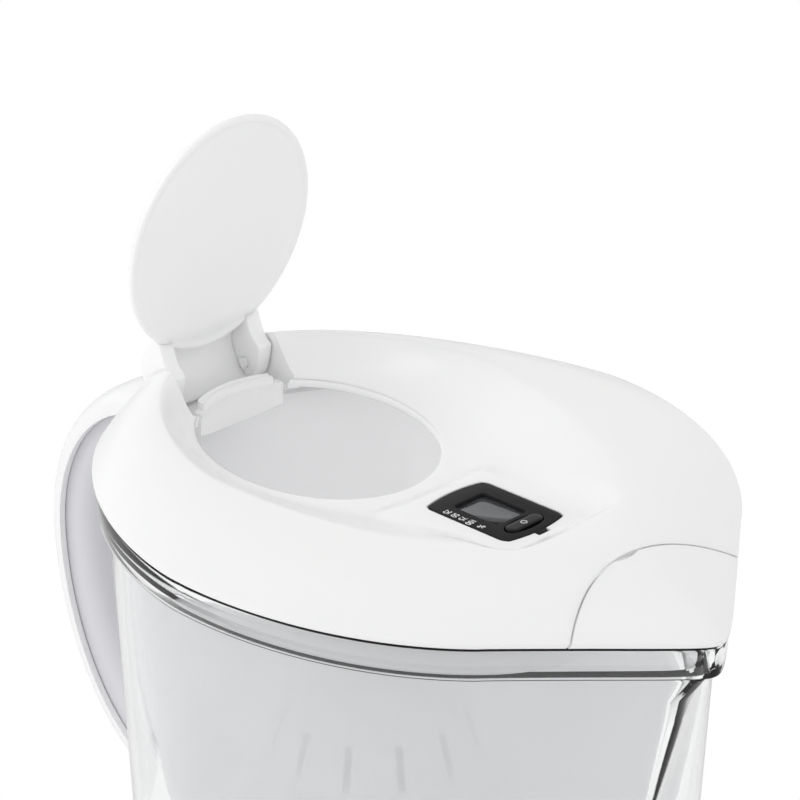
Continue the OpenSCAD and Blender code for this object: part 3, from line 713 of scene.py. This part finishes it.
def stadium(width, length):
    """An outline with half-round ends about the button's centre."""
    r, n = width / 2, 24
    turns = [pi * k / n for k in range(n + 1)] + [pi + pi * k / n for k in range(n + 1)]
    return [(BUTTON_X + r * cos(a), (length / 2 - r) * (1 if a < pi else -1) + r * sin(a)) for a in turns]


def egg(width, length, z):
    """An oval ring about the button's centre."""
    turns = [2 * pi * k / 72 for k in range(72)]
    return [(BUTTON_X + width / 2 * signed_power(cos(a), 0.9), length / 2 * sin(a), z) for a in turns]


def stroke(points, width, low, high, closed=False):
    """A printed line of even width through the points, as a flat raised strip."""
    n = len(points)
    rings = []
    for k in range(n):
        a = Vector(points[(k - 1) % n] if closed or k else points[0])
        b = Vector(points[(k + 1) % n] if closed or k < n - 1 else points[n - 1])
        ahead = (b - a).normalized() if (b - a).length else Vector((1, 0))
        side = Vector((-ahead.y, ahead.x)) * width / 2
        left, right = Vector(points[k]) + side, Vector(points[k]) - side
        rings.append([(*left, low), (*left, high), (*right, high), (*right, low)])
    return loft("print", rings, print_white, closed=closed)


def round_line(cx, cy, rx, ry, start, end, n=16):
    """Points on an oval from one angle in degrees to the other."""
    turns = [radians(mix(start, end, k / n)) for k in range(n + 1)]
    return [(cx + rx * cos(a), cy + ry * sin(a)) for a in turns]


# Each figure as lines, and whether a line closes on itself
GLYPHS = {
    "0": [(round_line(0.4, 0.8, 0.34, 0.7, 0, 345, 20), True)],
    "1": [([(0.18, 1.2), (0.45, 1.5), (0.45, 0.08)], False)],
    "2": [(round_line(0.4, 1.1, 0.34, 0.4, 170, -35) + [(0.08, 0.12), (0.76, 0.12)], False)],
    "5": [([(0.72, 1.5), (0.16, 1.5), (0.12, 0.88)] + round_line(0.36, 0.55, 0.38, 0.44, 110, -150), False)],
    "7": [([(0.06, 1.5), (0.74, 1.5), (0.3, 0.08)], False)],
    "%": [(round_line(0.25, 1.2, 0.2, 0.28, 0, 340, 14), True),
          (round_line(1.2, 0.36, 0.2, 0.28, 0, 340, 14), True),
          ([(1.15, 1.5), (0.3, 0.08)], False)]}


def mark(text, x, y):
    """A printed label that reads toward the near side, its foot toward the fill hole."""
    strips = []
    pen = -0.5 * (1.45 if text == "%" else GLYPH_STEP * len(text) - 0.16)
    for glyph in text:
        for points, closed in GLYPHS[glyph]:
            turned = [(x + (v - GLYPH_MID) * 1.05, y - (pen + u)) for u, v in points]
            strips.append(stroke(turned, LINE, 0.0, 0.012, closed))
        pen += GLYPH_STEP
    return strips


face = prism("indicator_face_look", panel_outline(0.0), -1.2, 0.0, dark, edge=0.3)
tab = prism("tab", [(13.3, -1.9), (14.6, -1.9), (15.2, -1.5), (15.6, -0.9), (15.6, 0.9), (15.2, 1.5),
                    (14.6, 1.9), (13.3, 1.9)], -1.2, -0.1, dark, edge=0.2)
cut(face, tab, "UNION")
cut(face, prism("window", rounded(13.9, 9.7, 0.9, cx=WINDOW_X), -5, 5, dark))
cut(face, prism("window", rounded(14.5, 10.3, 1.1, cx=WINDOW_X), -0.14, 5, dark))
moat = [egg(4.1, 10.2, -0.55), egg(4.9, 11.4, -0.34), egg(5.6, 12.3, 0.02), egg(5.9, 12.7, 1.0)]
cut(face, loft("moat", moat, dark))
cut(face, prism("well", stadium(4.3, 11.6), -5, 5, dark))
place(face, to_panel)
show(face, "lid", "dark_plastic", "indicator_face")

printing = []
for text, x in (("25", -7.5), ("50", -5.0), ("75", -2.5), ("100", 0.1), ("%", 3.4)):
    printing += mark(text, x, LABEL_Y)
printing = place(join("indicator_print_look", printing), to_panel)
show(printing, "lid", "dark_plastic")

pane = prism("indicator_window_look", rounded(13.86, 9.66, 0.88, cx=WINDOW_X), -1.2, -0.72, lcd_pane,
             edge=0.06)
place(pane, to_panel)
show(pane, "lid", "window_plastic", "indicator_window")

glass = prism("display_look", rounded(15.5, 11.6, 0.6, cx=WINDOW_X), -2.6, -1.32, lcd_grey, edge=0.08)
idle = [prism("segment", rounded(1.7, 5.2, 0.2, 4, cx=x, cy=-0.6), -1.33, -1.31, lcd_dark)
        for x in (-7.4, -5.0, -2.6, -0.2)]
glass = place(join("display_look", [glass] + idle), to_panel)
show(glass, "lid", "display_glass", "display")

# Inset and height of the button's rings, up the side and over its rounded top
BUTTON_PROFILE = ((0.3, -1.4), (0.25, -1.0), (0.0, -0.98), (0.0, 0.02), (0.04, 0.16), (0.14, 0.27),
                  (0.32, 0.34), (0.8, 0.38), (1.3, 0.385))
button = loft("start_button_look", [[(*p, z) for p in stadium(3.6 - 2 * inset, 11.0 - 2 * inset)]
                                    for inset, z in BUTTON_PROFILE], button_black)
power_mark = [stroke(round_line(BUTTON_X, 0, 0.72, 0.72, 35, 325, 28), 0.2, 0.38, 0.398),
              stroke([(BUTTON_X + 0.15, 0), (BUTTON_X + 0.95, 0)], 0.2, 0.38, 0.398)]
button = place(join("start_button_look", [button] + power_mark), to_panel)
show(button, "start_button", "button_plastic", "start_button")

# Jug
BODY_INSET = 3.5  # of the wall's top from the lid's outline
FOOT_INSET = 12.0  # of its foot
WALL = 2.4
SPOUT_SLOPE = 0.235  # how far the spout's ridge draws back per mm further down


def wall_inset(z):
    """The wall's draft: its inset at the height z."""
    return mix(FOOT_INSET, BODY_INSET, z / (HOLE_Z - 12))


def jug_ring(i, z):
    """Ring of the jug's wall, whose spout runs out into the plain oval further down."""
    base = (FRONT - i) * BLUNT
    ridge = NOSE - NOSE_INSET * i - SPOUT_SLOPE * (HOLE_Z - z)
    d = base
    if ridge > base - 12:
        d = base + 0.5 * (ridge - base + sqrt((ridge - base) ** 2 + 4.0))
    return [(oval(t, i, d)[0] + HOLE_X, oval(t, i, d)[1], z) for t in TURN]


def rim_ring(i, drop, f=nosed):
    """Ring of a rim that follows the lid's lower edge."""
    return [(p[0] + HOLE_X, p[1], p[2] + HOLE_Z) for p in edge_ring(f, i, drop)]


# Each point of a profile: inset and height, or for a rim the drop below the lid's edge
FOOT_PROFILE = ((11, 1.0), (10.4, 0.3), (9.6, 0.0), (8.6, 0.0), (6.5, 0.4), (4, 1.2), (1.8, 2.8),
                (0.5, 5.2))
FLOOR_PROFILE = ((4.0, 6.2), (7, 4.7), (11, 4.2))
RIM_PROFILE = (
    (3.5, 10.9), (3.5, 9.7), (3.1, 9), (1.3, 8.6), (0.95, 8.4), (0.8, 8.1), (0.8, 1.4), (0.95, 1.05),
    (1.3, 0.9), (2.7, 0.9), (3.05, 1.05), (3.2, 1.4), (3.2, 8.2), (3.4, 8.6), (5.5, 8.9), (5.85, 9.2),
    (5.9, 11.5))
PAINTED_SHADE_STEPS = (3, 4, 7, 8)  # steps of the rim's profile at its lower and its upper outer edge, painted near-black as shade

levels = [8 + 7.5 * k for k in range(30)]
outside = [jug_ring(FOOT_INSET + i, z) for i, z in FOOT_PROFILE]
outside += [jug_ring(wall_inset(z), z) for z in levels]
rim = [rim_ring(i, drop) for i, drop in RIM_PROFILE]
inside = [jug_ring(wall_inset(z) + WALL, z) for z in reversed(levels)]
inside += [jug_ring(FOOT_INSET + i, z) for i, z in FLOOR_PROFILE]
jug = loft("jug_look", outside + rim + inside, jug_clear)
# Painted shade: the faces of those steps take the near-black colour that stands in for the dark lines of the
# clear rim
jug.data.materials.append(painted_rim_shade)
for step in PAINTED_SHADE_STEPS:
    start = (len(outside) + step) * len(TURN)
    for side in jug.data.polygons[start:start + len(TURN)]:
        side.material_index = 1
show(jug, "jug", "clear_plastic", "jug")

# Handle, a C whose crown is two quarter ovals
HANDLE_X = -79.0  # centre of the ovals
HANDLE_Z = 195.0
HANDLE_REACH = 49.5  # from there to the back
HANDLE_RISE = 53.5  # to the top
HANDLE_FALL = 69.0  # to the lower end
ROOT_LENGTH = 5.4  # of the two blocks that fix the grip to the jug


def crown(phi):
    """A point of the handle's back and the direction away from it, at the angle phi in degrees."""
    b = HANDLE_RISE if sin(radians(phi)) > 0 else HANDLE_FALL
    c, s = cos(radians(phi)), sin(radians(phi))
    out = Vector((c / HANDLE_REACH, s / b)).normalized()
    return Vector((HANDLE_X + HANDLE_REACH * c, HANDLE_Z + b * s)), out


def handle_ring(phi, section, shift=0.0):
    """The section set square on the handle's back."""
    p, out = crown(phi)
    return [(p.x + out.x * q[1] + shift, q[0], p.y + out.y * q[1]) for q in section]


def arch(w, low, high, flat):
    """Half a section: an arch of half width w from low to high."""
    turns = [radians(-90 + 180 * k / 24) for k in range(25)]
    return [(w * signed_power(sin(a), 0.8), mix(low, high, abs(cos(a)) ** flat)) for a in turns]


def handle_loft(name, section, material):
    """The section drawn along the handle, its last ring moved into the jug's wall."""
    rings = [handle_ring(97.2 + 1.8 * k, section) for k in range(97)]
    return loft(name, rings + [handle_ring(270, section, 2.2)], material)


cover = arch(12, -7, 0, 0.7) + arch(10.2, -7, -2.6, 0.7)[::-1]
show(handle_loft("handle_shell_look", cover, handle_white), "jug", "white_plastic", "handle_shell")
core = arch(9.9, -7, -3, 0.7) + arch(9.4, -8.5, -16.5, 0.9)[::-1]
grip = handle_loft("handle_grip_look", core, grip_grey)
roots = []
for x, z0, z1 in ((-87, 234, 244), (-80, 128.5, 139.5)):
    side = [(x, z0), (x + ROOT_LENGTH, z0), (x + ROOT_LENGTH, z1), (x, z1)]
    roots.append(prism("root", side, -8, 8, grip_grey, axis="Y", edge=0.8))
grip = join("handle_grip_look", [grip] + roots)
show(grip, "jug", "grip_plastic", "handle_grip")

# Funnel, from its socket up the outside, over the rim and down the inside
SOCKET_X = -10.0  # centre of the cartridge's socket
SOCKET_OUTER = 32.8  # its radii
SOCKET_INNER = 31.0
SOCKET_Z = 114  # its lower end


def funnel_ring(i, z):
    """Ring of the funnel's wall."""
    return [(plain(t, i)[0] + HOLE_X, plain(t, i)[1], z) for t in TURN]


def socket_ring(r, z):
    """Ring of the socket that the cartridge sits in."""
    return [(SOCKET_X + r * cos(radians(t)), r * sin(radians(t)), z) for t in TURN]


FUNNEL_RIM = (
    (6.6, 10.8), (6.5, 8.4), (3.9, 8.2), (3.6, 7.8), (3.6, 1.8), (3.9, 1.5), (5.1, 1.5), (5.4, 1.8),
    (5.4, 6.3), (5.7, 6.6), (8.2, 6.8), (8.6, 7.5))
funnel_rings = [socket_ring(SOCKET_OUTER, SOCKET_Z), socket_ring(SOCKET_OUTER, 152)]
funnel_rings += [funnel_ring(i, z) for i, z in ((26, 159), (18, 162), (15.6, 165), (14.5, 170))]
funnel_rings += [funnel_ring(mix(14.5, 9, k / 8), mix(170, 222, k / 8)) for k in range(1, 9)]
funnel_rings += [rim_ring(i, drop, plain) for i, drop in FUNNEL_RIM] + [funnel_ring(10.8, 222)]
funnel_rings += [funnel_ring(mix(10.8, 16.3, k / 8), mix(222, 170.5, k / 8)) for k in range(1, 9)]
funnel_rings += [funnel_ring(i, z) for i, z in ((17.4, 166), (19.8, 163.6), (26.5, 160.9))]
funnel_rings += [socket_ring(31.6, 154.6), socket_ring(SOCKET_INNER, 153)]
funnel_rings += [socket_ring(SOCKET_INNER, SOCKET_Z)]
funnel = loft("funnel_look", funnel_rings, funnel_frost, closed=True)
show(funnel, "funnel", "funnel_plastic", "funnel")

# Stage: a paper sweep that is white to the camera but for the object's shadow near its foot
FLOOR_HALF = 3000.0  # in mm
FLOOR_Z = -0.2
SHADOW_NEAR = 0.16  # in m from the origin, from here the paper turns to plain white
SHADOW_FAR = 0.26

paper = new_material("white studio paper")
coords = add(paper, "TexCoord")
away = add(paper, "VectorMath", {0: coords.outputs["Object"]}, operation="LENGTH")
fade = add(paper, "MapRange", {"Value": away.outputs["Value"], "From Min": SHADOW_NEAR,
                               "From Max": SHADOW_FAR})
sheet = add(paper, "BsdfDiffuse", {"Color": (0.9, 0.9, 0.9, 1)})
plain_white = add(paper, "Emission", {"Color": (1, 1, 1, 1), "Strength": 1.0})
rays = add(paper, "LightPath")
seen = add(paper, "Math", {0: rays.outputs["Is Camera Ray"], 1: rays.outputs["Is Transmission Ray"]},
           operation="MAXIMUM")
share = add(paper, "Math", {0: seen.outputs["Value"], 1: fade.outputs["Result"]}, operation="MULTIPLY")
surface = add(paper, "MixShader", {0: share.outputs["Value"], 1: sheet.outputs["BSDF"],
                                   2: plain_white.outputs["Emission"]})
finish_material(paper, surface.outputs["Shader"])
corners = [(x * FLOOR_HALF, y * FLOOR_HALF, FLOOR_Z) for x, y in ((-1, -1), (1, -1), (1, 1), (-1, 1))]
floor = build("floor", corners, [(0, 1, 2, 3)], paper)

# The room lights the object brightest from the horizon and a little more from the spout's side
world = bpy.data.worlds.new("white studio")
bpy.context.scene.world = world
world.use_nodes = True
world.node_tree.nodes.clear()
coords = add(world, "TexCoord")
way = add(world, "SeparateXYZ", {0: coords.outputs["Generated"]})
below = add(world, "MapRange", {"Value": way.outputs["Z"], "From Min": -0.1, "From Max": 0.12, "To Min": 0.62,
                                "To Max": 1.0})
above = add(world, "MapRange", {"Value": way.outputs["Z"], "From Min": 0.2, "From Max": 0.95, "To Min": 1.0,
                                "To Max": 0.6})
front = add(world, "MapRange", {"Value": way.outputs["X"], "From Min": 0.0, "From Max": 0.9, "To Min": 1.0,
                                "To Max": 1.16})
height = add(world, "Math", {0: below.outputs["Result"], 1: above.outputs["Result"]}, operation="MULTIPLY")
level = add(world, "Math", {0: height.outputs["Value"], 1: front.outputs["Result"]}, operation="MULTIPLY")
room = add(world, "Background", {"Color": (1, 1, 1, 1), "Strength": level.outputs["Value"]})
backdrop = add(world, "Background", {"Color": (1, 1, 1, 1), "Strength": 1.0})
rays = add(world, "LightPath")
seen = add(world, "Math", {0: rays.outputs["Is Camera Ray"], 1: rays.outputs["Is Transmission Ray"]},
           operation="MAXIMUM")
choice = add(world, "MixShader", {0: seen.outputs["Value"], 1: room.outputs["Background"],
                                  2: backdrop.outputs["Background"]})
add(world, "OutputWorld", {"Surface": choice.outputs["Shader"]})

# One large softbox from the camera's left
SOFTBOX_PLACE = Vector((-0.55, -0.95, 1.15))
SOFTBOX_AIM = Vector((0, 0, 0.2))
SOFTBOX_SIZE = 0.9
softbox = bpy.data.lights.new("key", "AREA")
softbox.shape = "RECTANGLE"
softbox.size = SOFTBOX_SIZE
softbox.size_y = SOFTBOX_SIZE
softbox.energy = 5.0
light = bpy.data.objects.new("key", softbox)
light.location = SOFTBOX_PLACE
light.rotation_euler = (SOFTBOX_AIM - SOFTBOX_PLACE).to_track_quat("-Z", "Y").to_euler()
bpy.context.collection.objects.link(light)

# Camera, solved from the photograph
CAMERA_PLACE = (0.41626, -0.41107, 0.53918)
CAMERA_DOWN = 24.728  # in degrees below level
CAMERA_TURN = 45.448  # in degrees round Z
camera_data = bpy.data.cameras.new("camera")
camera_data.lens = 122.8
camera_data.sensor_width = 36.0
camera_data.clip_start = 0.01
camera = bpy.data.objects.new("camera", camera_data)
camera.location = CAMERA_PLACE
camera.rotation_euler = (radians(90 - CAMERA_DOWN), 0, radians(CAMERA_TURN))
bpy.context.collection.objects.link(camera)
bpy.context.scene.camera = camera
bpy.context.scene.view_settings.view_transform = "Standard"
